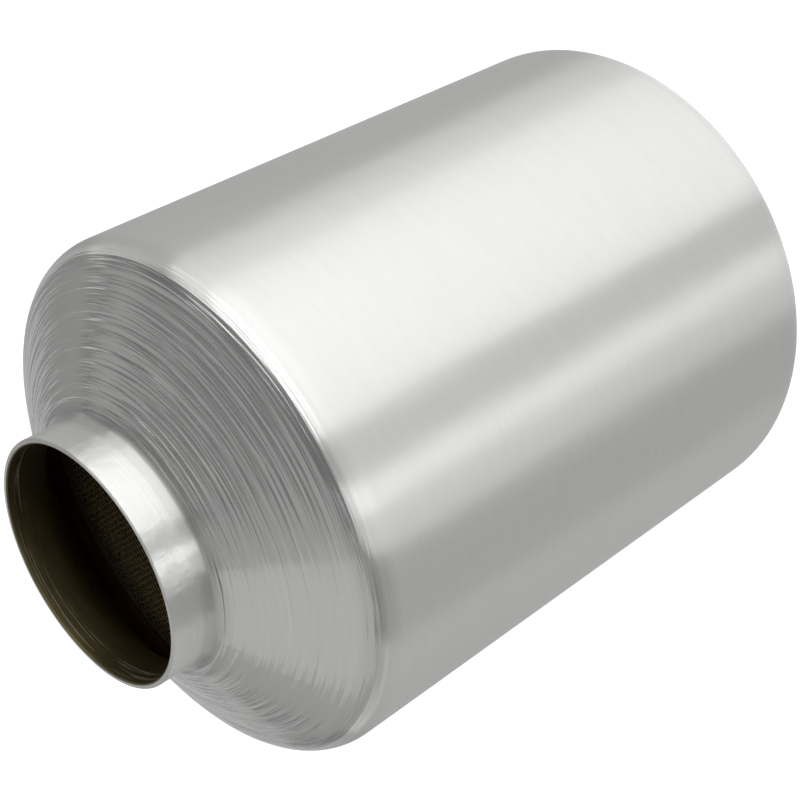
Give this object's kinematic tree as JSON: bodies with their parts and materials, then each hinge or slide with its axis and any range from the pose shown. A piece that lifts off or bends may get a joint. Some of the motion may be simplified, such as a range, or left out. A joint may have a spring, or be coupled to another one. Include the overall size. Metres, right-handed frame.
{
  "type": "catalytic converter",
  "caption": "Spun round catalytic converter: a stainless can with a neck at each end, round a ceramic honeycomb held in a mounting mat.",
  "frame": {"origin": "centre of the outlet rim, on which the part stands", "axes": "+Z along the axis from the outlet up to the inlet, +X and +Y along the honeycomb's rows of channels"},
  "size_m": [0.1142, 0.1142, 0.1818],
  "materials": {
    "spun_stainless": "satin stainless sheet, with dense spinning grooves round both cones",
    "washcoated_honeycomb": "matt washcoated cordierite, fine square channels",
    "mat_fibre": "pressed fibre mat with mica flecks",
    "mesh_wire": "knitted fine wire, pressed to a ring"
  },
  "bodies": {
    "root": {"shell": "spun_stainless", "substrate": "washcoated_honeycomb", "support_mat": "mat_fibre", "inlet_seal_ring": "mesh_wire", "outlet_seal_ring": "mesh_wire"}
  },
  "joints": []
}
